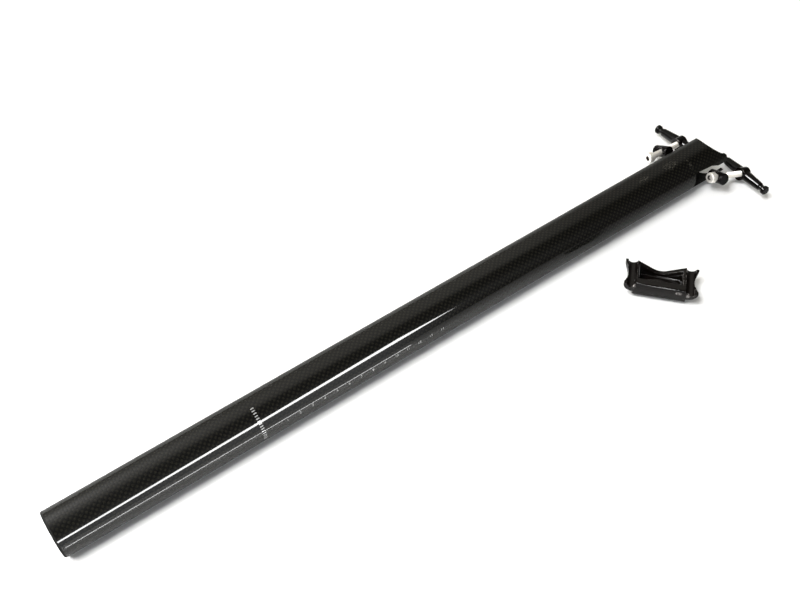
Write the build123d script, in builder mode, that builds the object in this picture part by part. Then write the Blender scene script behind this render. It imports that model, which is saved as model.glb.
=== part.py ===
from build123d import *
from math import cos, radians, sin, sqrt, tan
import os

os.makedirs("parts", exist_ok=True)

# Post tube. The X axis is the tube's axis, from its open bottom end to the saddle head.
post_diameter = 33.9
post_wall = 2.4
post_length = 583.0
bottom_chamfer = 0.7
mouth_radius = 16.5
mouth_depth = 11.2
mouth_aside = 2.3
notch_length = 34.4
pocket_length = 18.0
pocket_flare = 1.3
shoulder_length = 7.5
notch_corner = 2.0
shoulder_round = 3.0

# Bolts
bolt_diameter = 5.0
bolt_length = 35.0
head_diameter = 8.5
head_height = 5.0
socket_flats = 4.0
socket_depth = 2.6
head_bevel = 0.5
tip_chamfer = 0.7
thread_clearance = 0.05

# Barrel washers
barrel_diameter = 9.6
barrel_length = 15.4
barrel_chamfer = 0.6
bolt_play = 0.3
hang_gap = 0.03
head_seat_height = 2.0
head_seat_play = 0.35
slot_play = 0.3
pocket_play = 0.3

# Saddle rails and the turned clamp bars
rail_diameter = 7.0
rail_spacing = 44.0
bar_lip_width = 2.75
bar_middle_diameter = 9.0
bar_neck_diameter = 5.2
bar_lip_diameter = 7.4
bar_cone_end_diameter = 6.6
bar_lip_bevel = 0.8
groove_floor = 1.6
boss_diameter = 10.8
boss_below = 5.0
boss_above = 3.0
boss_bevel = 0.8
thread_entry_diameter = 7.0
thread_entry_depth = 1.6

# Lower cradle
cradle_length = 24.1
cradle_block = 39.6
cradle_height = 16.2
rail_axis_height = 16.4
trough_play = 0.1
wing_radius = 7.4
wing_offset = 20.3
wing_height = 15.6
valley_depth = 10.1
valley_round = 10.0
hook_length = 2.2
hook_inset = 2.8
cradle_wall = 3.0
well_length = 33.2
well_floor = 4.0
well_round = 1.0
belly_play = 0.05

# Where the loose pieces lie
cradle_back = 120.92
cradle_aside = 70.11
cradle_turn_angle = -46.31
front_bar_ahead = -9.73
front_bar_aside = 7.793
front_bar_drop = 2.878
front_bar_dip_angle = 11.7
front_bar_swing_angle = -0.4
front_bolt_lean_angle = -1.6
front_bolt_droop_angle = 3.2
front_bolt_reach = 36.7
front_barrel_along = 17.0
front_barrel_roll_angle = -24.0
rear_bar_ahead = 13.5
rear_bar_aside = 9.95
rear_bar_drop = 8.74
rear_bar_dip_angle = -6.3
rear_bar_swing_angle = 3.9
rear_bolt_lean_angle = 10.1
rear_bolt_droop_angle = 17.6
rear_bolt_reach = 38.7
rear_barrel_along = 9.6
rear_barrel_roll_angle = -15.0

# Values that follow from the ones above
post_radius = post_diameter / 2
table_level = -post_radius
bore_radius = post_radius - post_wall
slot_width = barrel_diameter + 2 * slot_play
pocket_width = barrel_length + 2 * pocket_play
notch_start = post_length - notch_length
mouth_centre = post_length - mouth_depth + mouth_radius
rail_radius = rail_diameter / 2
rail_offset = rail_spacing / 2
boss_radius = boss_diameter / 2
groove_height = bar_neck_diameter / 2 + rail_radius


def groove_reach(height):
    # distance from the groove's middle to where the rail's round reaches this height off the bar's axis
    return sqrt(rail_radius**2 - (groove_height - height) ** 2)


def set_frame(ahead, aside, drop, side, lean, droop, swing, dip):
    # frame of one bolt set: Z runs up the bolt, X runs out along the clamp bar
    along_bolt = Vector(1, side * tan(radians(lean)), -tan(radians(droop)))
    along_bar = Vector(tan(radians(swing)), side, -tan(radians(dip)))
    centre = Vector(post_length + ahead, side * (post_radius + aside), -drop)
    return Plane(origin=centre, x_dir=along_bar, z_dir=along_bolt)


def profile_plane(frame, height):
    # plane through the bar's axis: sketch X along the bar, sketch Y up the bolt
    return Plane(origin=frame.from_local_coords((0, 0, height)), x_dir=frame.x_dir, z_dir=-frame.y_dir)


def build_bar(frame):
    cone_end = rail_offset - groove_reach(bar_cone_end_diameter / 2)
    lip_start = rail_offset + groove_reach(bar_lip_diameter / 2)
    bar_half = lip_start + bar_lip_width
    side = profile_plane(frame, 0)
    axis = Axis(frame.origin, frame.x_dir)
    with BuildPart() as bar:
        with BuildSketch(side):
            with BuildLine():
                for way in (1, -1):
                    Polyline(
                        (0, bar_middle_diameter / 2),
                        (way * cone_end, bar_cone_end_diameter / 2),
                        (way * (rail_offset - groove_floor / 2), bar_neck_diameter / 2),
                        (way * (rail_offset + groove_floor / 2), bar_neck_diameter / 2),
                        (way * lip_start, bar_lip_diameter / 2),
                        (way * (bar_half - bar_lip_bevel), bar_lip_diameter / 2),
                        (way * bar_half, bar_lip_diameter / 2 - bar_lip_bevel),
                        (way * bar_half, 0),
                        (0, 0),
                    )
            make_face()
        revolve(axis=axis)
        with BuildSketch(side):
            with Locations((boss_radius / 2, (boss_above - boss_below) / 2)):
                boss = Rectangle(boss_radius, boss_above + boss_below)
            chamfer(boss.vertices().sort_by_distance(frame.origin)[2:], boss_bevel)
        revolve(axis=Axis(frame.origin, frame.z_dir))
        with BuildSketch(frame.offset(-boss_below)):
            Circle(thread_entry_diameter / 2)
        extrude(amount=thread_entry_depth, mode=Mode.SUBTRACT)
        with BuildSketch(frame.offset(-boss_below)):
            Circle(bolt_diameter / 2 + thread_clearance)
        extrude(amount=boss_below + bar_middle_diameter, mode=Mode.SUBTRACT)
    return bar


def build_bolt(frame, reach):
    head_end = frame.offset(-reach)
    with BuildPart() as bolt:
        with BuildSketch(head_end):
            Circle(head_diameter / 2)
        extrude(amount=head_height)
        chamfer(bolt.edges().sort_by(Axis(head_end.origin, head_end.z_dir))[0], head_bevel)
        with BuildSketch(head_end.offset(head_height)):
            Circle(bolt_diameter / 2)
        extrude(amount=bolt_length)
        chamfer(bolt.edges().sort_by(Axis(head_end.origin, head_end.z_dir))[-1], tip_chamfer)
        with BuildSketch(head_end):
            RegularPolygon(socket_flats / 2, 6, major_radius=False)
        extrude(amount=socket_depth, mode=Mode.SUBTRACT)
    return bolt


def build_barrel(frame, reach, along, roll):
    # the barrel hangs on the bolt by the play of its hole, turned about the bolt by the roll angle
    down = (Vector(0, 0, -1) + frame.z_dir * frame.z_dir.Z).normalized()
    axis = frame.x_dir * cos(radians(roll)) + frame.y_dir * sin(radians(roll))
    centre = frame.origin + frame.z_dir * (along - reach) + down * (bolt_play - hang_gap)
    middle = Plane(origin=centre, x_dir=axis, z_dir=frame.z_dir)
    end = Plane(origin=centre - axis * (barrel_length / 2), x_dir=frame.z_dir, z_dir=axis)
    with BuildPart() as barrel:
        with BuildSketch(end):
            Circle(barrel_diameter / 2)
        extrude(amount=barrel_length)
        chamfer(barrel.edges().filter_by(GeomType.CIRCLE), barrel_chamfer)
        with BuildSketch(middle.offset(-head_seat_height)):
            Circle(head_diameter / 2 + head_seat_play)
        extrude(amount=-barrel_diameter, mode=Mode.SUBTRACT)
        with BuildSketch(middle.offset(-barrel_diameter)):
            Circle(bolt_diameter / 2 + bolt_play)
        extrude(amount=2 * barrel_diameter, mode=Mode.SUBTRACT)
    return barrel


# Post tube
with BuildPart() as post_tube:
    with BuildSketch(Plane.YZ):
        Circle(post_radius)
        Circle(bore_radius, mode=Mode.SUBTRACT)
    extrude(amount=post_length)
    chamfer(post_tube.edges().filter_by(GeomType.CIRCLE).group_by(Axis.X)[0], bottom_chamfer)
    with BuildSketch(Plane.XY):
        with Locations((mouth_centre, mouth_aside)):
            Circle(mouth_radius)
    extrude(amount=post_diameter, both=True, mode=Mode.SUBTRACT)
    with BuildSketch(Plane.XZ):
        with BuildLine():
            half = Polyline(
                (notch_start, 0),
                (notch_start, pocket_width / 2 + pocket_flare),
                (notch_start + pocket_length, pocket_width / 2),
                (notch_start + pocket_length + shoulder_length, slot_width / 2),
                (post_length + mouth_depth, slot_width / 2),
                (post_length + mouth_depth, 0),
            )
            mirror(half, about=Plane.XZ)
        make_face()
        corners = vertices().group_by(Axis.X)
        fillet(corners[0], notch_corner)
        fillet(corners[1] + corners[2], shoulder_round)
    extrude(amount=post_diameter, both=True, mode=Mode.SUBTRACT)
post_tube.part.label = "post_tube"
export_step(post_tube.part, "parts/post_tube.step")

# Front bolt set, on the far side of the head
front = set_frame(
    front_bar_ahead,
    front_bar_aside,
    front_bar_drop,
    1,
    front_bolt_lean_angle,
    front_bolt_droop_angle,
    front_bar_swing_angle,
    front_bar_dip_angle,
)
front_clamp_bar = build_bar(front)
front_clamp_bar.part.label = "front_clamp_bar"
export_step(front_clamp_bar.part, "parts/front_clamp_bar.step")

front_bolt = build_bolt(front, front_bolt_reach)
front_bolt.part.label = "front_bolt"
export_step(front_bolt.part, "parts/front_bolt.step")

front_barrel_washer = build_barrel(front, front_bolt_reach, front_barrel_along, front_barrel_roll_angle)
front_barrel_washer.part.label = "front_barrel_washer"
export_step(front_barrel_washer.part, "parts/front_barrel_washer.step")

# Rear bolt set, on the near side of the head
rear = set_frame(
    rear_bar_ahead,
    rear_bar_aside,
    rear_bar_drop,
    -1,
    rear_bolt_lean_angle,
    rear_bolt_droop_angle,
    rear_bar_swing_angle,
    rear_bar_dip_angle,
)
rear_clamp_bar = build_bar(rear)
rear_clamp_bar.part.label = "rear_clamp_bar"
export_step(rear_clamp_bar.part, "parts/rear_clamp_bar.step")

rear_bolt = build_bolt(rear, rear_bolt_reach)
rear_bolt.part.label = "rear_bolt"
export_step(rear_bolt.part, "parts/rear_bolt.step")

rear_barrel_washer = build_barrel(rear, rear_bolt_reach, rear_barrel_along, rear_barrel_roll_angle)
rear_barrel_washer.part.label = "rear_barrel_washer"
export_step(rear_barrel_washer.part, "parts/rear_barrel_washer.step")

# Lower cradle, on its belly on the table. Sketch X is across the rails, Y along them.
cross = Vector(cos(radians(cradle_turn_angle)), sin(radians(cradle_turn_angle)), 0)
along = Vector(-sin(radians(cradle_turn_angle)), cos(radians(cradle_turn_angle)), 0)
cradle_base = Plane(
    origin=(post_length - cradle_back, -cradle_aside, table_level),
    x_dir=cross,
    z_dir=(0, 0, 1),
)
across = Plane(origin=cradle_base.origin - along * (cradle_length / 2), x_dir=cross, z_dir=-along)
lengthwise = Plane(origin=cradle_base.origin, x_dir=along, z_dir=cross)
belly_radius = mouth_radius - belly_play
trough_radius = rail_radius + trough_play
valley_half = rail_offset - trough_radius
hook_gap = cradle_length - 2 * hook_length
hook_tip = wing_offset + sqrt(wing_radius**2 - (cradle_height - wing_height) ** 2)
scallop_radius = (hook_gap**2 / 4 + hook_inset**2) / (2 * hook_inset)
scallop_centre = hook_tip - hook_inset + scallop_radius
well_width = cradle_length - 2 * cradle_wall
with BuildPart() as lower_cradle:
    with BuildSketch(across):
        with Locations((0, cradle_height / 2)):
            Rectangle(cradle_block, cradle_height)
        with Locations((-wing_offset, wing_height), (wing_offset, wing_height)):
            Circle(wing_radius)
        with Locations((0, cradle_height + wing_radius)):
            Rectangle(2 * rail_spacing, 2 * wing_radius, mode=Mode.SUBTRACT)
        with Locations((-rail_offset, rail_axis_height), (rail_offset, rail_axis_height)):
            Circle(trough_radius, mode=Mode.SUBTRACT)
        with BuildLine():
            left = (-valley_half, cradle_height)
            right = (valley_half, cradle_height)
            FilletPolyline(left, (0, cradle_height - valley_depth), right, radius=valley_round)
            Line(right, left)
        make_face(mode=Mode.SUBTRACT)
    extrude(amount=-cradle_length)
    with BuildSketch(lengthwise):
        with Locations((0, belly_radius)):
            Circle(belly_radius)
        with Locations((0, belly_radius + cradle_height)):
            Rectangle(2 * belly_radius, 2 * cradle_height)
    extrude(amount=hook_tip, both=True, mode=Mode.INTERSECT)
    with BuildSketch(lengthwise):
        with Locations((0, well_floor + cradle_height / 2)):
            well = Rectangle(well_width, cradle_height)
        fillet(well.vertices().group_by(Axis.Z)[0], well_round)
    extrude(amount=well_length / 2, both=True, mode=Mode.SUBTRACT)
    with BuildSketch(cradle_base):
        with Locations((-scallop_centre, 0), (scallop_centre, 0)):
            Circle(scallop_radius)
    extrude(amount=cradle_height, mode=Mode.SUBTRACT)
lower_cradle.part.label = "lower_cradle"
export_step(lower_cradle.part, "parts/lower_cradle.step")
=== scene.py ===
from math import cos, pi, radians, sin

import bpy
import numpy as np
from mathutils import Matrix, Vector


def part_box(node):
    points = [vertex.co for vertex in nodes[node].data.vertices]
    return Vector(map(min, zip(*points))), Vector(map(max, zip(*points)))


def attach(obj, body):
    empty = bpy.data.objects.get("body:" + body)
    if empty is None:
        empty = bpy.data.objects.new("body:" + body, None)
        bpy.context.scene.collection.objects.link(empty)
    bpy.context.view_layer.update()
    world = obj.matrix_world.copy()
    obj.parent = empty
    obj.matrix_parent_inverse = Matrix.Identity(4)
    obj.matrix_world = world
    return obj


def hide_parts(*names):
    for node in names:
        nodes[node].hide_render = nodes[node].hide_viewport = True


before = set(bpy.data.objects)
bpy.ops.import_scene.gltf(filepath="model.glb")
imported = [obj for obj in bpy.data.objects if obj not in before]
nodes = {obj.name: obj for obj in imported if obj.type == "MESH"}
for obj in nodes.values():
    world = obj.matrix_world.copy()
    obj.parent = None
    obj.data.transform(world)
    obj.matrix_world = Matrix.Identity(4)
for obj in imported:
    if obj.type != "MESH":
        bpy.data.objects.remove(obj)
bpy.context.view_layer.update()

# Lengths are in metres. CLOUDS, SMUDGES, GRAIN and WAVES are the scale of a noise, in spots per metre.
MM = 0.001

# The post tube: its axis is the X axis and it lies on the table
tube_low, tube_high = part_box("post_tube")
TUBE_RADIUS = tube_high.z
TABLE_LEVEL = tube_low.z

# Woven cloth under the clear coat: tow sizes, how round a tow's back and ends are, and its fibres. The tow
# colours are painted sheen and shade
TOW_ALONG = 2.0 * MM
TOWS_AROUND = 56
TOW_BACK = 0.6
TOW_END = 0.35
FIBRE_LENGTHWISE = 120.0
FIBRE_CROSSWISE = 5200.0
FIBRE_SHARE = 0.5
AXIAL_TOW_EDGE_SHADE = (0.0008, 0.0008, 0.0008, 1)
AXIAL_TOW_BACK_SHEEN = (0.0024, 0.0024, 0.0021, 1)
HOOP_TOW_EDGE_SHADE = (0.0016, 0.0016, 0.0013, 1)
HOOP_TOW_BACK_SHEEN = (0.0108, 0.0102, 0.0072, 1)
FIBRE_SHADE = (0.0013, 0.0012, 0.001, 1)
CLOTH_ROUGHNESS = 0.44
CLOTH_GLOSS = 0.02
CLOTH_RELIEF = 0.05 * MM
CLOTH_BUMP = 0.7

# Clear coat: how much of it is left in the open, under a scuff, at the tube's edges and past its fade
COAT_SKIN = 0.2 * MM
SKIN_BLEND = 0.05 * MM
COAT_SHARE = 0.8
COAT_SCUFFED_SHARE = 0.35
COAT_EDGE_SHARE = 0.35
COAT_FADED_SHARE = 0.55
COAT_FADE_START = 330 * MM
COAT_FADE_END = 470 * MM
COAT_EDGE_TURN = (0.4, 0.75)
COAT_ROUGHNESS = 0.03
COAT_INDEX = 1.33
COAT_WAVES = 130.0
COAT_WAVE_STRETCH = 0.35
COAT_WAVE_BUMP = 0.12

# Bare laminate of the sawn walls, the bottom ring and the bore
BORE_RADIUS = 14.7 * MM
END_RING = 1.5 * MM
END_RING_BLEND = 0.1 * MM
PLY_PITCH = 0.3 * MM
PLY_DARK = (0.008, 0.008, 0.008, 1)
PLY_PALE = (0.022, 0.021, 0.02, 1)
PLY_CONTRAST = (0.4, 0.6)
LAMINATE_GRAIN = 2600.0
BORE_COLOUR = (0.007, 0.007, 0.007, 1)
BARE_ROUGHNESS = 0.62

# Rubbed patches of the coat: place along the tube, way round from the top, half length, half width
SCUFF_PATCHES = [
    (532 * MM, 0.5 * MM, 8.0 * MM, 4.5 * MM),
    (504 * MM, -1.0 * MM, 7.0 * MM, 2.5 * MM),
    (547 * MM, 9.0 * MM, 1.6 * MM, 8.0 * MM),
]
SCUFF_COLOUR = (0.062, 0.058, 0.048, 1)
SCUFF_GRAIN = 900.0
SCUFF_GRAIN_STEP = (0.5, 0.72)

# Scuffs and the cradle's spots of wear and painted highlight are whole up to this share of their half
# size, squared
SPOT_CORE = 0.3

# Dyed black metal: colours, edges that are partly worn and partly painted with highlights, and the height
# above the table where this wear and painted glint begins and is full
DEEP_DYE = (0.0022, 0.0016, 0.0015)
THIN_DYE = (0.0052, 0.0039, 0.0034)
BARE_METAL_AND_GLINT = (0.6, 0.56, 0.54, 1)
BARE_METAL_AND_GLINT_SHARE = 0.5
DYE_CLOUDS = 90.0
DYE_SMUDGES = 320.0
EDGE_REACH = 0.5 * MM
EDGE_SAMPLES = 8
EDGE_STEP = (0.04, 0.22)
WEAR_AND_GLINT_START = 7.0 * MM
WEAR_AND_GLINT_FULL = 9.0 * MM
WEAR_AND_GLINT_CLOUDS = 230.0
WEAR_AND_GLINT_CLOUD_STEP = (0.46, 0.6)
RUB_AND_GLINT_GRAIN = 800.0
RUB_AND_GLINT_GRAIN_STEP = (0.42, 0.62)
RUB_AND_GLINT_SHARES = (0.04, 0.4)
TOOLING_GRAIN = 3800.0
TOOLING_RELIEF = 0.01 * MM
TOOLING_BUMP = 0.35

# Steel of the bolts and ink of the printed marks
POLISHED_STEEL = (0.82, 0.79, 0.74, 1)
DULL_STEEL = (0.6, 0.57, 0.52, 1)
# painted shade for the walls of the bolts' hex sockets
SOCKET_PAINTED_SHADE = (0.035, 0.032, 0.03, 1)
STEEL_SHARE = 0.55
STEEL_CLOUDS = 240.0
STEEL_SMUDGES = 700.0
STEEL_ROUGHNESS = (0.22, 0.42)
STEEL_GRAIN = 4200.0
STEEL_RELIEF = 0.008 * MM
STEEL_BUMP = 0.3
INK_PALE = (0.34, 0.34, 0.33, 1)
INK_RUBBED = (0.1, 0.1, 0.1, 1)
INK_GRAIN = 900.0
INK_ROUGHNESS = (0.3, 0.5)
INK_COAT = 0.6
INK_COAT_ROUGHNESS = 0.05

# Printed marks: ways round run from the top of the tube towards the near side
TICK_PLACE = 147.2 * MM
TICK_LENGTH = 2.4 * MM
TICK_WIDTH = 0.8 * MM
TICK_STEP = 2.0 * MM
TICK_START = 2.0 * MM
TICK_COUNT = 14
TICK_SLICES = 3
SCALE_START = 165.5 * MM
SCALE_STEP = 10.0 * MM
SCALE_COUNT = 14
SCALE_ARC = 22.6 * MM
DIGIT_HEIGHT = 3.0 * MM
INK_LIFT = 0.02 * MM

# Socket-head bolts, measured from the outer face of the head
HEAD_RADIUS = 4.25 * MM
HEAD_HEIGHT = 5.0 * MM
HEAD_BEVEL = 0.5 * MM
SHANK_RADIUS = 2.5 * MM
BOLT_END = 40.0 * MM
PLAIN_END = 18.0 * MM
THREAD_PITCH = 0.8 * MM
THREAD_DEPTH = 0.45 * MM
THREAD_TURNS = 26
SOCKET_FLATS = 4.0 * MM
SOCKET_DEPTH = 2.6 * MM
KNURL_RIDGES = 40
KNURL_DEPTH = 0.11 * MM
KNURL_PLAY = 0.01 * MM
THREAD_STEPS = 24
THREAD_SINK = 0.03 * MM
THREAD_CREST_PLAY = 0.02 * MM
SOCKET_REACH = HEAD_RADIUS / 1.5
SOCKET_LIP = 0.05 * MM
STEEP_WALL = 0.5
BOLT_CREASE = radians(28)
POINT_DIGITS = 7

# One ridge of the thread: at its root or crest, and the share of the pitch
THREAD_RIDGE = [
    ("root", 0.0),
    ("root", 0.12),
    ("crest", 0.45),
    ("crest", 0.55),
    ("root", 0.88),
    ("root", 1.0),
]

# Meshes: the distance that merges points, and the angle above which an edge of the cradle stays sharp
MERGE = 0.001 * MM
CRADLE_CREASE = radians(25)

# Lower cradle: its rear wall, measured from the cradle's middle and the table
CRADLE_TURN = radians(-46.31)
WALL_HALF_WIDTH = 18.3 * MM
WALL_TOP = 16.2 * MM
WALL_INNER = 5.0 * MM
WALL_CROWN = 9.5 * MM
WALL_OUTER = 12.0 * MM
WALL_FOOT = 5.4 * MM
WALL_BASE = 3.0 * MM
WALL_UNDER = 8.8 * MM
WALL_UNDER_HEIGHT = 3.4 * MM
WALL_ROUND_START = 8.0 * MM
WALL_ROUND_STEPS = 8
EAR_HALF_WIDTH = 19.5 * MM
EAR_ROOM = 1.0 * MM

# Spots of the cradle, partly rubbed wear and partly painted highlight: place, half length across the
# cradle, half width
CRADLE_ACROSS = Vector((cos(CRADLE_TURN), sin(CRADLE_TURN), 0.0))
CRADLE_RUBS_AND_GLINTS = [
    (Vector((463.4, -88.0, -3.8)) * MM, 3.0 * MM, 1.5 * MM),
    (Vector((467.9, -93.2, -4.6)) * MM, 1.8 * MM, 2.4 * MM),
    (Vector((440.4, -63.8, -3.1)) * MM, 1.3 * MM, 2.2 * MM),
]

# Table and room
TABLE_SIZE = 30.0
TABLE_DROP = 0.1 * MM
TABLE_CREAM = (0.86, 0.858, 0.85, 1)
TABLE_WHITE = (0.88, 0.88, 0.876, 1)
TABLE_CLOUDS = 3.0
TABLE_ROUGHNESS = 0.3
TABLE_GLOSS = 0.4
NEAR_DARK = (0.07, 0.066, 0.06, 1)
NEAR_GLOW = (1.5, 1.56, 1.62, 1)
FAR_WALL_LOW = (0.45, 0.43, 0.38, 1)
FAR_WALL_HIGH = (1.1, 1.07, 0.97, 1)
FAR_WALL_END = (0.25, 0.24, 0.22, 1)
BACKDROP = (0.8, 0.79, 0.77, 1)

# Where the room's tones change over, as parts of a direction of length 1
FAR_SIDE = (-0.08, 0.4)
NEAR_GLOW_TOP = (0.38, 0.62)
NEAR_GLOW_END = (0.24, 0.4)
FAR_WALL_RISE = (0.0, 0.8)
FAR_WALL_TURN = (0.55, 0.85)

# A point near the middle of the tube, which lamps face and the table is centred under
TUBE_MIDDLE = Vector((0.3, 0.0, 0.0))

# Lamps: name, two ends, width, the point it faces, power, and whether it lights the table and dull faces
STRIP_LEVEL = TABLE_LEVEL + 0.4 * MM
LAMPS = [
    ("window_strip", Vector((-0.55, -3.36, 1.2)), Vector((0.963, -1.461, 1.2)), 0.34,
     TUBE_MIDDLE, 170.0, False),
    ("low_strip", Vector((0.0, -0.076, STRIP_LEVEL)), Vector((0.29, -0.076, STRIP_LEVEL)), 0.006,
     Vector((0.145, -0.076, 1.0)), 0.3, True),
    ("glint_lamp", Vector((-0.65, 1.02, 1.06)), Vector((-0.15, 1.02, 1.06)), 0.5,
     Vector((0.592, -0.04, 0.0)), 170.0, False),
    ("crown_glint_lamp", Vector((-0.311, -1.122, 0.79)), Vector((-0.161, -0.918, 1.1)), 0.018,
     Vector((0.454, -0.077, 0.0)), 4.0, False),
    ("ceiling_lamp", Vector((-1.1, -0.03, 1.9)), Vector((-0.3, -0.03, 1.9)), 0.8,
     TUBE_MIDDLE, 70.0, True),
]

# Camera, as in the photograph
CAMERA_PLACE = Vector((42.61, -327.43, 607.17)) * MM
CAMERA_RIGHT = Vector((0.8218, -0.5698, 0.0))
CAMERA_UP = Vector((0.4656, 0.6716, 0.5763))
CAMERA_LENS = 45.0
CAMERA_SENSOR = 36.0
CAMERA_NEAREST = 0.01


# Small helpers for node materials


def new_material(name):
    material = bpy.data.materials.new(name)
    material.use_nodes = True
    tree = material.node_tree
    tree.nodes.clear()
    output = tree.nodes.new("ShaderNodeOutputMaterial")
    shader = tree.nodes.new("ShaderNodeBsdfPrincipled")
    tree.links.new(shader.outputs["BSDF"], output.inputs["Surface"])
    return material, tree, shader


def feed(tree, socket, value):
    # a number or colour is set on the socket, an output is linked to it
    if isinstance(value, bpy.types.NodeSocket):
        tree.links.new(value, socket)
    else:
        socket.default_value = value


def math_node(tree, operation, *values):
    node = tree.nodes.new("ShaderNodeMath")
    node.operation = operation
    for socket, value in zip(node.inputs, values):
        feed(tree, socket, value)
    return node.outputs[0]


def squared_sum(tree, first, second):
    first_square = math_node(tree, "POWER", first, 2.0)
    return math_node(tree, "ADD", first_square, math_node(tree, "POWER", second, 2.0))


def step_between(tree, value, low, high):
    # smooth step from 0 at low to 1 at high
    node = tree.nodes.new("ShaderNodeMapRange")
    node.interpolation_type = "SMOOTHSTEP"
    feed(tree, node.inputs["Value"], value)
    node.inputs["From Min"].default_value = low
    node.inputs["From Max"].default_value = high
    return node.outputs["Result"]


def fall_between(tree, value, low, high):
    # smooth step from 1 at low to 0 at high
    return math_node(tree, "SUBTRACT", 1.0, step_between(tree, value, low, high))


def between(tree, value, low, high):
    # value from 0 to 1 spread over low to high
    node = tree.nodes.new("ShaderNodeMapRange")
    feed(tree, node.inputs["Value"], value)
    feed(tree, node.inputs["To Min"], low)
    feed(tree, node.inputs["To Max"], high)
    return node.outputs["Result"]


def mix_colours(tree, factor, first, second):
    node = tree.nodes.new("ShaderNodeMix")
    node.data_type = "RGBA"
    feed(tree, node.inputs["Factor"], factor)
    feed(tree, node.inputs["A"], first)
    feed(tree, node.inputs["B"], second)
    return node.outputs["Result"]


def noise(tree, vector, scale, detail, roughness=0.5):
    node = tree.nodes.new("ShaderNodeTexNoise")
    feed(tree, node.inputs["Vector"], vector)
    node.inputs["Scale"].default_value = scale
    node.inputs["Detail"].default_value = detail
    node.inputs["Roughness"].default_value = roughness
    return node.outputs["Fac"]


def combine(tree, x, y, z):
    node = tree.nodes.new("ShaderNodeCombineXYZ")
    for socket, value in zip(node.inputs, (x, y, z)):
        feed(tree, socket, value)
    return node.outputs["Vector"]


def object_place(tree):
    return tree.nodes.new("ShaderNodeTexCoord").outputs["Object"]


def axes_of(tree, vector):
    node = tree.nodes.new("ShaderNodeSeparateXYZ")
    tree.links.new(vector, node.inputs["Vector"])
    return node.outputs["X"], node.outputs["Y"], node.outputs["Z"]


def bump(tree, height, distance, strength, base=None):
    # base is the normal that the bump is laid on, where it isn't the mesh's own
    node = tree.nodes.new("ShaderNodeBump")
    feed(tree, node.inputs["Height"], height)
    node.inputs["Distance"].default_value = distance
    node.inputs["Strength"].default_value = strength
    if base is not None:
        tree.links.new(base, node.inputs["Normal"])
    return node.outputs["Normal"]


def dress(piece, material):
    piece.data.materials.clear()
    piece.data.materials.append(material)


# Materials


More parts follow.
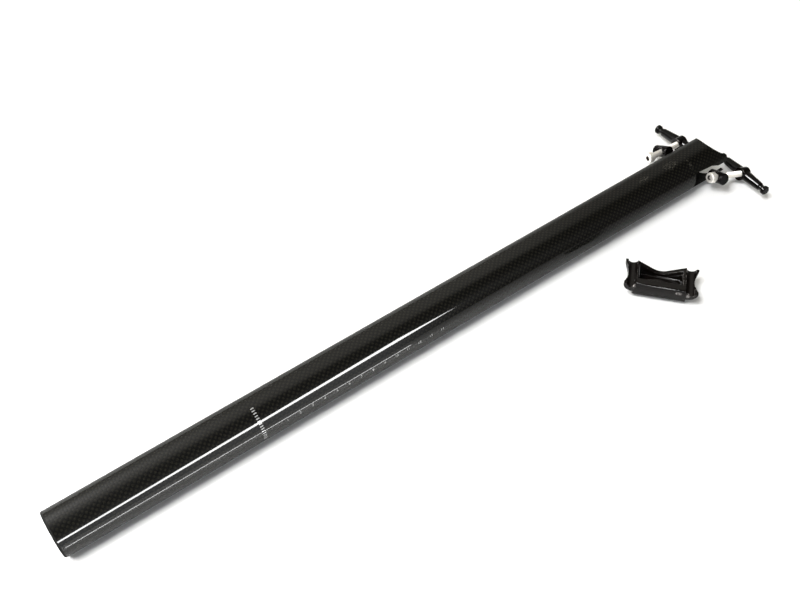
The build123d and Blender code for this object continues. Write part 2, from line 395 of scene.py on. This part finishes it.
def woven_carbon():
    material, tree, shader = new_material("woven_carbon")
    place = object_place(tree)
    x, y, z = axes_of(tree, place)
    turn = math_node(tree, "ARCTAN2", math_node(tree, "MULTIPLY", y, -1.0), z)
    radius = math_node(tree, "SQRT", squared_sum(tree, y, z))

    # plain weave: every square of the cloth shows an axial tow or a hoop tow
    along = math_node(tree, "DIVIDE", x, TOW_ALONG)
    around = math_node(tree, "MULTIPLY", turn, TOWS_AROUND / (2 * pi))
    squares = math_node(tree, "ADD", math_node(tree, "FLOOR", along), math_node(tree, "FLOOR", around))
    hoop_on_top = math_node(tree, "FLOORED_MODULO", squares, 2.0)
    across_hoop = math_node(tree, "FRACT", along)
    across_axial = math_node(tree, "FRACT", around)

    def crown(share, roundness):
        # rounded back of a tow: 0 at its edges, 1 on its middle line
        wave = math_node(tree, "SINE", math_node(tree, "MULTIPLY", share, pi))
        return math_node(tree, "POWER", wave, roundness)

    axial_height = math_node(tree, "MULTIPLY", crown(across_axial, TOW_BACK), crown(across_hoop, TOW_END))
    hoop_height = math_node(tree, "MULTIPLY", crown(across_hoop, TOW_BACK), crown(across_axial, TOW_END))
    cloth_height = between(tree, hoop_on_top, axial_height, hoop_height)

    # fine fibres run along each tow
    arc = math_node(tree, "MULTIPLY", turn, TUBE_RADIUS)

    def fibre_noise(along_scale, round_scale):
        far_along = math_node(tree, "MULTIPLY", x, along_scale)
        far_round = math_node(tree, "MULTIPLY", arc, round_scale)
        return noise(tree, combine(tree, far_along, far_round, 0.0), scale=1.0, detail=2.0)

    axial_fibres = fibre_noise(FIBRE_LENGTHWISE, FIBRE_CROSSWISE)
    hoop_fibres = fibre_noise(FIBRE_CROSSWISE, FIBRE_LENGTHWISE)
    fibres = between(tree, hoop_on_top, axial_fibres, hoop_fibres)
    # painted sheen and shade: each tow is darker at its edges, where shade falls between tows, and lighter
    # on its back; hoop tows are painted lighter, standing in for their fibres' sheen
    axial_sheen_and_shade = mix_colours(tree, axial_height, AXIAL_TOW_EDGE_SHADE, AXIAL_TOW_BACK_SHEEN)
    hoop_sheen_and_shade = mix_colours(tree, hoop_height, HOOP_TOW_EDGE_SHADE, HOOP_TOW_BACK_SHEEN)
    cloth_sheen_and_shade = mix_colours(tree, hoop_on_top, axial_sheen_and_shade, hoop_sheen_and_shade)
    fibre_share = math_node(tree, "MULTIPLY", fibres, FIBRE_SHARE)
    streaked = mix_colours(tree, fibre_share, cloth_sheen_and_shade, FIBRE_SHADE)

    # scuffs on the coat close to the head
    scuff_zone = 0.0
    for patch_x, patch_arc, half_length, half_width in SCUFF_PATCHES:
        off_x = math_node(tree, "DIVIDE", math_node(tree, "SUBTRACT", x, patch_x), half_length)
        off_arc = math_node(tree, "DIVIDE", math_node(tree, "SUBTRACT", arc, patch_arc), half_width)
        reach = squared_sum(tree, off_x, off_arc)
        inside = fall_between(tree, reach, SPOT_CORE, 1.0)
        scuff_zone = math_node(tree, "MAXIMUM", scuff_zone, inside)
    scuff_grain = noise(tree, place, SCUFF_GRAIN, detail=3.0, roughness=0.6)
    scuff_flecks = step_between(tree, scuff_grain, *SCUFF_GRAIN_STEP)
    scuffs = math_node(tree, "MULTIPLY", scuff_zone, scuff_flecks)
    coated_colour = mix_colours(tree, scuffs, streaked, SCUFF_COLOUR)

    # sawn walls and the bore are bare laminate
    skin_start = TUBE_RADIUS - COAT_SKIN
    skin = step_between(tree, radius, skin_start - SKIN_BLEND, skin_start)
    past_ring = step_between(tree, x, END_RING - END_RING_BLEND, END_RING)
    coated = math_node(tree, "MULTIPLY", skin, past_ring)
    plies = math_node(tree, "SINE", math_node(tree, "MULTIPLY", radius, 2 * pi / PLY_PITCH))
    ply_colour = mix_colours(tree, between(tree, plies, *PLY_CONTRAST), PLY_DARK, PLY_PALE)
    in_bore = math_node(tree, "LESS_THAN", radius, BORE_RADIUS)
    bare_colour = mix_colours(tree, in_bore, ply_colour, BORE_COLOUR)
    feed(tree, shader.inputs["Base Color"], mix_colours(tree, coated, bare_colour, coated_colour))
    feed(tree, shader.inputs["Roughness"], between(tree, coated, BARE_ROUGHNESS, CLOTH_ROUGHNESS))

    # the coat is thinner on scuffs, towards the head and where the tube turns away
    facing = tree.nodes.new("ShaderNodeLayerWeight")
    facing.inputs["Blend"].default_value = 0.5
    turned_away = step_between(tree, facing.outputs["Facing"], *COAT_EDGE_TURN)
    grazing = between(tree, turned_away, 1.0, COAT_EDGE_SHARE)
    faded = step_between(tree, x, COAT_FADE_START, COAT_FADE_END)
    dulled = between(tree, faded, 1.0, COAT_FADED_SHARE)
    coat = math_node(tree, "MULTIPLY", coated, between(tree, scuffs, COAT_SHARE, COAT_SCUFFED_SHARE))
    thinned = math_node(tree, "MULTIPLY", grazing, dulled)
    feed(tree, shader.inputs["Coat Weight"], math_node(tree, "MULTIPLY", coat, thinned))
    shader.inputs["Coat Roughness"].default_value = COAT_ROUGHNESS
    shader.inputs["Coat IOR"].default_value = COAT_INDEX
    shader.inputs["Specular IOR Level"].default_value = CLOTH_GLOSS

    # the cloth's relief lies under the coat, which has only long, low waves of its own
    bare_grain = noise(tree, place, LAMINATE_GRAIN, detail=4.0)
    relief = between(tree, coated, bare_grain, cloth_height)
    feed(tree, shader.inputs["Normal"], bump(tree, relief, CLOTH_RELIEF, CLOTH_BUMP))
    stretched = combine(tree, math_node(tree, "MULTIPLY", x, COAT_WAVE_STRETCH), y, z)
    coat_waves = noise(tree, stretched, COAT_WAVES, detail=2.0)
    feed(tree, shader.inputs["Coat Normal"], bump(tree, coat_waves, CLOTH_RELIEF, COAT_WAVE_BUMP))
    return material


def rub_and_glint_spot(tree, place, centre, half_length, half_width):
    # 1 in the middle of a long round spot that lies across the cradle, 0 outside it
    def vectors(operation, first, second):
        node = tree.nodes.new("ShaderNodeVectorMath")
        node.operation = operation
        feed(tree, node.inputs[0], first)
        feed(tree, node.inputs[1], second)
        return node.outputs["Value"] if operation == "DOT_PRODUCT" else node.outputs["Vector"]

    off = vectors("SUBTRACT", place, centre)
    across = math_node(tree, "POWER", vectors("DOT_PRODUCT", off, CRADLE_ACROSS), 2.0)
    aside = math_node(tree, "SUBTRACT", vectors("DOT_PRODUCT", off, off), across)
    long_share = math_node(tree, "DIVIDE", across, half_length ** 2)
    reach = math_node(tree, "ADD", long_share, math_node(tree, "DIVIDE", aside, half_width ** 2))
    return fall_between(tree, reach, SPOT_CORE, 1.0)


def black_anodised(name, wear_and_glint_amount, depth, gloss, matt, rubs_and_glints=()):
    # dyed and sealed aluminium with bright sharp edges, partly wear and partly painted glints
    material, tree, shader = new_material(name)
    place = object_place(tree)
    height = axes_of(tree, place)[2]
    rounded = tree.nodes.new("ShaderNodeBevel")
    rounded.samples = EDGE_SAMPLES
    rounded.inputs["Radius"].default_value = EDGE_REACH
    facing = tree.nodes.new("ShaderNodeVectorMath")
    facing.operation = "DOT_PRODUCT"
    tree.links.new(rounded.outputs["Normal"], facing.inputs[0])
    tree.links.new(tree.nodes.new("ShaderNodeNewGeometry").outputs["True Normal"], facing.inputs[1])
    edge = step_between(tree, math_node(tree, "SUBTRACT", 1.0, facing.outputs["Value"]), *EDGE_STEP)
    patch_noise = noise(tree, place, WEAR_AND_GLINT_CLOUDS, detail=3.0, roughness=0.55)
    patches = step_between(tree, patch_noise, *WEAR_AND_GLINT_CLOUD_STEP)

    # edges close to the table and the corners of the cradle's well, which lie in shade, get no wear and no
    # painted glint
    reached = step_between(tree, height, TABLE_LEVEL + WEAR_AND_GLINT_START, TABLE_LEVEL + WEAR_AND_GLINT_FULL)
    open_edge = math_node(tree, "MULTIPLY", edge, patches)
    wear_and_glint = math_node(tree, "MULTIPLY", open_edge, math_node(tree, "MULTIPLY", reached, wear_and_glint_amount))

    # the spots of wear and painted highlight are broken up by fine grit
    grit_noise = noise(tree, place, RUB_AND_GLINT_GRAIN, detail=3.0, roughness=0.6)
    grit = between(tree, step_between(tree, grit_noise, *RUB_AND_GLINT_GRAIN_STEP), *RUB_AND_GLINT_SHARES)
    for centre, half_length, half_width in rubs_and_glints:
        spot = rub_and_glint_spot(tree, place, centre, half_length, half_width)
        wear_and_glint = math_node(tree, "MAXIMUM", wear_and_glint, math_node(tree, "MULTIPLY", spot, grit))
    cloud = noise(tree, place, DYE_CLOUDS, detail=5.0, roughness=0.6)
    deep_dye = [share * depth for share in DEEP_DYE] + [1]
    thin_dye = [share * depth for share in THIN_DYE] + [1]
    dye = mix_colours(tree, cloud, deep_dye, thin_dye)
    # the bright edges and spots are pale metal colour, partly wear and partly painted highlight
    feed(tree, shader.inputs["Base Color"], mix_colours(tree, wear_and_glint, dye, BARE_METAL_AND_GLINT))
    feed(tree, shader.inputs["Metallic"], math_node(tree, "MULTIPLY", wear_and_glint, BARE_METAL_AND_GLINT_SHARE))
    smudge = noise(tree, place, DYE_SMUDGES, detail=6.0, roughness=0.7)
    feed(tree, shader.inputs["Roughness"], between(tree, smudge, matt / 2, matt))
    shader.inputs["Specular IOR Level"].default_value = gloss
    tooling = noise(tree, place, TOOLING_GRAIN, detail=2.0)
    marks = bump(tree, tooling, TOOLING_RELIEF, TOOLING_BUMP, rounded.outputs["Normal"])
    feed(tree, shader.inputs["Normal"], marks)
    return material


def bright_steel():
    material, tree, shader = new_material("bright_steel")
    place = object_place(tree)
    cloud = noise(tree, place, STEEL_CLOUDS, detail=5.0, roughness=0.6)
    polished = mix_colours(tree, cloud, POLISHED_STEEL, DULL_STEEL)
    # the marked socket walls get a painted shade colour
    socket = tree.nodes.new("ShaderNodeAttribute")
    socket.attribute_name = "socket"
    shaded = mix_colours(tree, socket.outputs["Fac"], polished, SOCKET_PAINTED_SHADE)
    feed(tree, shader.inputs["Base Color"], shaded)
    shader.inputs["Metallic"].default_value = STEEL_SHARE
    smudge = noise(tree, place, STEEL_SMUDGES, detail=4.0)
    feed(tree, shader.inputs["Roughness"], between(tree, smudge, *STEEL_ROUGHNESS))
    grain = noise(tree, place, STEEL_GRAIN, detail=2.0)
    feed(tree, shader.inputs["Normal"], bump(tree, grain, STEEL_RELIEF, STEEL_BUMP))
    return material


def print_ink():
    material, tree, shader = new_material("print_ink")
    rubbed = noise(tree, object_place(tree), INK_GRAIN, detail=4.0, roughness=0.6)
    feed(tree, shader.inputs["Base Color"], mix_colours(tree, rubbed, INK_PALE, INK_RUBBED))
    feed(tree, shader.inputs["Roughness"], between(tree, rubbed, *INK_ROUGHNESS))
    shader.inputs["Coat Weight"].default_value = INK_COAT
    shader.inputs["Coat Roughness"].default_value = INK_COAT_ROUGHNESS
    return material


carbon = woven_carbon()
cradle_black = black_anodised("cradle_black", wear_and_glint_amount=0.2, depth=1.0, gloss=0.16, matt=0.07, rubs_and_glints=CRADLE_RUBS_AND_GLINTS)
fittings_black = black_anodised("fittings_black", wear_and_glint_amount=0.5, depth=0.45, gloss=0.08, matt=0.22)
steel = bright_steel()
ink = print_ink()

dress(nodes["post_tube"], carbon)
for name in ("front_clamp_bar", "rear_clamp_bar", "front_barrel_washer", "rear_barrel_washer"):
    dress(nodes[name], fittings_black)


# Small helpers for meshes


def only(piece):
    bpy.ops.object.select_all(action="DESELECT")
    piece.select_set(True)
    bpy.context.view_layer.objects.active = piece


def combine_solids(body, tool, operation):
    only(body)
    step = body.modifiers.new("step", "BOOLEAN")
    step.operation = operation
    step.solver = "EXACT"
    step.object = tool
    bpy.ops.object.modifier_apply(modifier=step.name)
    bpy.data.objects.remove(tool)


def join_as(name, pieces):
    only(pieces[0])
    for piece in pieces:
        piece.select_set(True)
    bpy.ops.object.join()
    pieces[0].name = name
    return pieces[0]


def new_piece(name, points, edges, faces):
    mesh = bpy.data.meshes.new(name)
    mesh.from_pydata(points, edges, faces)
    piece = bpy.data.objects.new(name, mesh)
    bpy.context.scene.collection.objects.link(piece)
    only(piece)
    return piece


def merge_points():
    # in edit mode: points that lie on each other become one
    bpy.ops.mesh.select_all(action="SELECT")
    bpy.ops.mesh.remove_doubles(threshold=MERGE)


# Bolts with knurled heads, hexagon sockets and cut threads


def outline(name, points):
    # a chain of edges in the XZ plane, ready to be turned about the Z axis
    links = [(count, count + 1) for count in range(len(points) - 1)]
    return new_piece(name, [(radius, 0, height) for radius, height in points], links, [])


def weld_and_close(holes):
    # in edit mode: merges the seams, closes open ends and turns the faces outwards
    merge_points()
    if holes:
        bpy.ops.mesh.select_all(action="SELECT")
        bpy.ops.mesh.fill_holes(sides=0)
    bpy.ops.mesh.select_all(action="SELECT")
    bpy.ops.mesh.normals_make_consistent(inside=False)


def turned_bolt():
    core = SHANK_RADIUS - THREAD_DEPTH
    body = outline("bolt", [
        (0, 0),
        (HEAD_RADIUS - HEAD_BEVEL, 0),
        (HEAD_RADIUS, HEAD_BEVEL),
        (HEAD_RADIUS, HEAD_HEIGHT - HEAD_BEVEL / 2),
        (HEAD_RADIUS - HEAD_BEVEL / 2, HEAD_HEIGHT),
        (SHANK_RADIUS, HEAD_HEIGHT),
        (SHANK_RADIUS, PLAIN_END),
        (core, PLAIN_END + THREAD_DEPTH),
        (core, BOLT_END - THREAD_PITCH),
        (core - THREAD_DEPTH, BOLT_END),
        (0, BOLT_END),
    ])
    bpy.ops.object.mode_set(mode="EDIT")
    bpy.ops.mesh.select_all(action="SELECT")
    bpy.ops.mesh.spin(steps=2 * KNURL_RIDGES, angle=2 * pi, center=(0, 0, 0), axis=(0, 0, 1))
    weld_and_close(False)
    bpy.ops.object.mode_set(mode="OBJECT")

    # every second line of points on the head's side is pressed in for the knurl
    for vertex in body.data.vertices:
        flat = Vector((vertex.co.x, vertex.co.y))
        if abs(flat.length - HEAD_RADIUS) < KNURL_PLAY:
            line = round(Vector((1, 0)).angle_signed(flat) / (pi / KNURL_RIDGES))
            if line % 2:
                flat *= 1 - KNURL_DEPTH / HEAD_RADIUS
                vertex.co.x, vertex.co.y = flat

    bpy.ops.object.select_all(action="DESELECT")
    corner_radius = SOCKET_FLATS / 2 / cos(pi / 6)
    bpy.ops.mesh.primitive_cylinder_add(vertices=6, radius=corner_radius, depth=2 * SOCKET_DEPTH)
    combine_solids(body, bpy.context.object, "DIFFERENCE")

    # one ridge of the thread, wound along the bolt
    root = core - THREAD_SINK
    crest = SHANK_RADIUS - THREAD_CREST_PLAY
    start = PLAIN_END + THREAD_DEPTH
    radii = {"root": root, "crest": crest}
    thread = outline("thread", [(radii[at], start + share * THREAD_PITCH) for at, share in THREAD_RIDGE])
    winding = thread.modifiers.new("winding", "SCREW")
    winding.axis = "Z"
    winding.angle = 2 * pi
    winding.screw_offset = THREAD_PITCH
    winding.iterations = THREAD_TURNS
    winding.steps = winding.render_steps = THREAD_STEPS
    bpy.ops.object.modifier_apply(modifier=winding.name)
    bpy.ops.object.mode_set(mode="EDIT")
    weld_and_close(True)
    bpy.ops.object.mode_set(mode="OBJECT")

    join_as("bolt", [body, thread])
    bpy.ops.object.shade_smooth_by_angle(angle=BOLT_CREASE)

    # the walls of the socket are marked for painted shade, as the shade in the socket keeps them dark
    mark = body.data.attributes.new("socket", "FLOAT", "FACE")
    for face in body.data.polygons:
        centre = face.center
        deep = SOCKET_LIP < centre.z < SOCKET_DEPTH and abs(face.normal.z) < STEEP_WALL
        inner = Vector((centre.x, centre.y)).length < SOCKET_REACH
        mark.data[face.index].value = float(deep and inner)
    return body


def bolt_place(node):
    # the bolt's own frame from its solid: Z runs from the middle of the head's outer face to the tip
    corners = np.array([node.matrix_world @ vertex.co for vertex in node.data.vertices])
    points = np.unique(corners.round(POINT_DIGITS), axis=0)
    middle = points.mean(axis=0)
    axis = np.linalg.svd(points - middle)[2][0]
    along = (points - middle) @ axis
    spread = np.linalg.norm(points - middle - np.outer(along, axis), axis=1)
    if spread[along > 0].max() > spread[along < 0].max():
        axis, along = -axis, -along
    run = Vector(axis)
    side = run.orthogonal().normalized()
    turn = Matrix((side, run.cross(side), run)).transposed().to_4x4()
    return Matrix.Translation(Vector(middle) + run * along.min()) @ turn


pattern = turned_bolt()
for name in ("front_bolt", "rear_bolt"):
    bolt = pattern.copy()
    bolt.data = pattern.data.copy()
    bolt.name = name + "_turned"
    bpy.context.scene.collection.objects.link(bolt)
    bolt.data.transform(bolt_place(nodes[name]))
    dress(bolt, steel)
    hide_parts(name)
    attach(bolt, "root")
bpy.data.objects.remove(pattern)


# Lower cradle with a straight, rounded rear wall


def wall_prism(name, half_width, profile):
    # a prism across the cradle from a profile of (way to the rear, height) points
    corners = [(-half_width, -rear, height) for rear, height in profile]
    piece = new_piece(name, corners, [], [list(range(len(profile)))])
    bpy.ops.object.mode_set(mode="EDIT")
    bpy.ops.mesh.select_all(action="SELECT")
    bpy.ops.mesh.extrude_region_move(TRANSFORM_OT_translate={"value": (2 * half_width, 0, 0)})
    bpy.ops.mesh.select_all(action="SELECT")
    bpy.ops.mesh.normals_make_consistent(inside=False)
    bpy.ops.object.mode_set(mode="OBJECT")
    low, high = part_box("lower_cradle")
    middle = (low + high) / 2
    seat = Matrix.Translation((middle.x, middle.y, low.z))
    piece.data.transform(seat @ Matrix.Rotation(CRADLE_TURN, 4, "Z"))
    return piece


def walled_cradle():
    cradle = bpy.data.objects.new("lower_cradle_walled", nodes["lower_cradle"].data.copy())
    bpy.context.scene.collection.objects.link(cradle)
    only(cradle)
    bpy.ops.object.mode_set(mode="EDIT")
    merge_points()
    bpy.ops.object.mode_set(mode="OBJECT")

    # the wall's outer side is a quarter of an ellipse from its crown down to its straight foot
    turns = [count * pi / 2 / WALL_ROUND_STEPS for count in range(WALL_ROUND_STEPS + 1)]
    reach = WALL_OUTER - WALL_CROWN
    rise = WALL_TOP - WALL_ROUND_START
    outside = [(WALL_CROWN + reach * sin(turn), WALL_ROUND_START + rise * cos(turn)) for turn in turns]
    wall = [(WALL_INNER, WALL_BASE), (WALL_INNER, WALL_TOP)] + outside
    wall += [(WALL_OUTER, WALL_FOOT), (WALL_UNDER, WALL_UNDER_HEIGHT)]
    combine_solids(cradle, wall_prism("rear_wall", WALL_HALF_WIDTH, wall), "UNION")

    # the ears of the solid's own wall are cut back to the same round
    past = WALL_OUTER + EAR_ROOM
    above = WALL_TOP + EAR_ROOM
    ears = outside + [(past, WALL_ROUND_START), (past, above), (WALL_CROWN, above)]
    combine_solids(cradle, wall_prism("ears", EAR_HALF_WIDTH, ears), "DIFFERENCE")

    # slivers that the cuts leave are cleaned away
    only(cradle)
    bpy.ops.object.mode_set(mode="EDIT")
    merge_points()
    bpy.ops.mesh.select_all(action="SELECT")
    bpy.ops.mesh.dissolve_degenerate(threshold=MERGE)
    bpy.ops.object.mode_set(mode="OBJECT")
    bpy.ops.object.shade_smooth_by_angle(angle=CRADLE_CREASE)
    return cradle


cradle = walled_cradle()
dress(cradle, cradle_black)
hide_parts("lower_cradle")
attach(cradle, "root")


# Printed marks on the tube


def wrap_on_tube(piece, along, arc):
    # lays a flat mark on the tube: its sheet X becomes the way along, its sheet Y the way round
    for vertex in piece.data.vertices:
        turn = (arc - vertex.co.y) / TUBE_RADIUS
        reach = TUBE_RADIUS + INK_LIFT + vertex.co.z
        vertex.co = Vector((along + vertex.co.x, -reach * sin(turn), reach * cos(turn)))


def insertion_ticks():
    ticks = []
    for count in range(TICK_COUNT):
        bpy.ops.object.select_all(action="DESELECT")
        bpy.ops.mesh.primitive_grid_add(x_subdivisions=1, y_subdivisions=TICK_SLICES, size=1)
        tick = bpy.context.object
        tick.scale = (TICK_LENGTH, TICK_WIDTH, 1)
        bpy.ops.object.transform_apply(location=False, rotation=False, scale=True)
        wrap_on_tube(tick, TICK_PLACE, TICK_START + count * TICK_STEP)
        ticks.append(tick)
    return join_as("insertion_ticks", ticks)


def height_scale():
    figures = []
    for count in range(SCALE_COUNT):
        bpy.ops.object.select_all(action="DESELECT")
        bpy.ops.object.text_add()
        figure = bpy.context.object
        figure.data.body = str(count + 1)
        figure.data.size = DIGIT_HEIGHT
        figure.data.align_x = "CENTER"
        figure.data.align_y = "CENTER"
        bpy.ops.object.convert(target="MESH")
        wrap_on_tube(figure, SCALE_START + count * SCALE_STEP, SCALE_ARC)
        figures.append(figure)
    return join_as("height_scale", figures)


for mark in (insertion_ticks(), height_scale()):
    dress(mark, ink)
    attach(mark, "root")


# Table, lights and camera


def pale_table():
    bpy.ops.object.select_all(action="DESELECT")
    under_tube = (TUBE_MIDDLE.x, 0, TABLE_LEVEL - TABLE_DROP)
    bpy.ops.mesh.primitive_plane_add(size=TABLE_SIZE, location=under_tube)
    table = bpy.context.object
    table.name = "table_top"
    material, tree, shader = new_material("pale_table_top")
    tone = noise(tree, object_place(tree), TABLE_CLOUDS, detail=2.0)
    feed(tree, shader.inputs["Base Color"], mix_colours(tree, tone, TABLE_CREAM, TABLE_WHITE))
    shader.inputs["Roughness"].default_value = TABLE_ROUGHNESS
    shader.inputs["Specular IOR Level"].default_value = TABLE_GLOSS
    dress(table, material)


def strip_lamp(name, first_end, second_end, width, face_to, power, lights_all):
    # a flat lamp from one end to the other, turned to face a point; some show only in glossy faces
    run = second_end - first_end
    middle = (first_end + second_end) / 2
    along = run.normalized()
    away = middle - face_to
    back = (away - along * away.dot(along)).normalized()
    data = bpy.data.lights.new(name, "AREA")
    data.shape = "RECTANGLE"
    data.size = run.length
    data.size_y = width
    data.energy = power
    lamp = bpy.data.objects.new(name, data)
    turn = Matrix((along, back.cross(along), back)).transposed().to_4x4()
    lamp.matrix_world = Matrix.Translation(middle) @ turn
    lamp.visible_camera = False
    lamp.visible_diffuse = lights_all
    bpy.context.scene.collection.objects.link(lamp)


def studio_room():
    world = bpy.data.worlds.new("studio_room")
    world.use_nodes = True
    tree = world.node_tree
    tree.nodes.clear()
    output = tree.nodes.new("ShaderNodeOutputWorld")
    background = tree.nodes.new("ShaderNodeBackground")
    tree.links.new(background.outputs["Background"], output.inputs["Surface"])
    x, y, z = axes_of(tree, tree.nodes.new("ShaderNodeTexCoord").outputs["Generated"])
    far_side = step_between(tree, y, *FAR_SIDE)
    low_part = fall_between(tree, z, *NEAR_GLOW_TOP)
    left_part = fall_between(tree, x, *NEAR_GLOW_END)
    near_glow = math_node(tree, "MULTIPLY", low_part, left_part)
    near_tone = mix_colours(tree, near_glow, NEAR_DARK, NEAR_GLOW)
    far_wall = mix_colours(tree, step_between(tree, z, *FAR_WALL_RISE), FAR_WALL_LOW, FAR_WALL_HIGH)
    far_tone = mix_colours(tree, step_between(tree, x, *FAR_WALL_TURN), far_wall, FAR_WALL_END)
    room = mix_colours(tree, far_side, near_tone, far_tone)

    # the backdrop itself is pale all round, the room's tones only light the part
    seen = tree.nodes.new("ShaderNodeLightPath").outputs["Is Camera Ray"]
    feed(tree, background.inputs["Color"], mix_colours(tree, seen, room, BACKDROP))
    bpy.context.scene.world = world


pale_table()
studio_room()
for lamp in LAMPS:
    strip_lamp(*lamp)

camera_data = bpy.data.cameras.new("photo_camera")
camera_data.lens = CAMERA_LENS
camera_data.sensor_width = CAMERA_SENSOR
camera_data.clip_start = CAMERA_NEAREST
camera = bpy.data.objects.new("photo_camera", camera_data)
camera_back = CAMERA_RIGHT.cross(CAMERA_UP)
camera_turn = Matrix((CAMERA_RIGHT, CAMERA_UP, camera_back)).transposed().to_4x4()
camera.matrix_world = Matrix.Translation(CAMERA_PLACE) @ camera_turn
bpy.context.scene.collection.objects.link(camera)
bpy.context.scene.camera = camera
bpy.context.scene.view_settings.view_transform = "Standard"
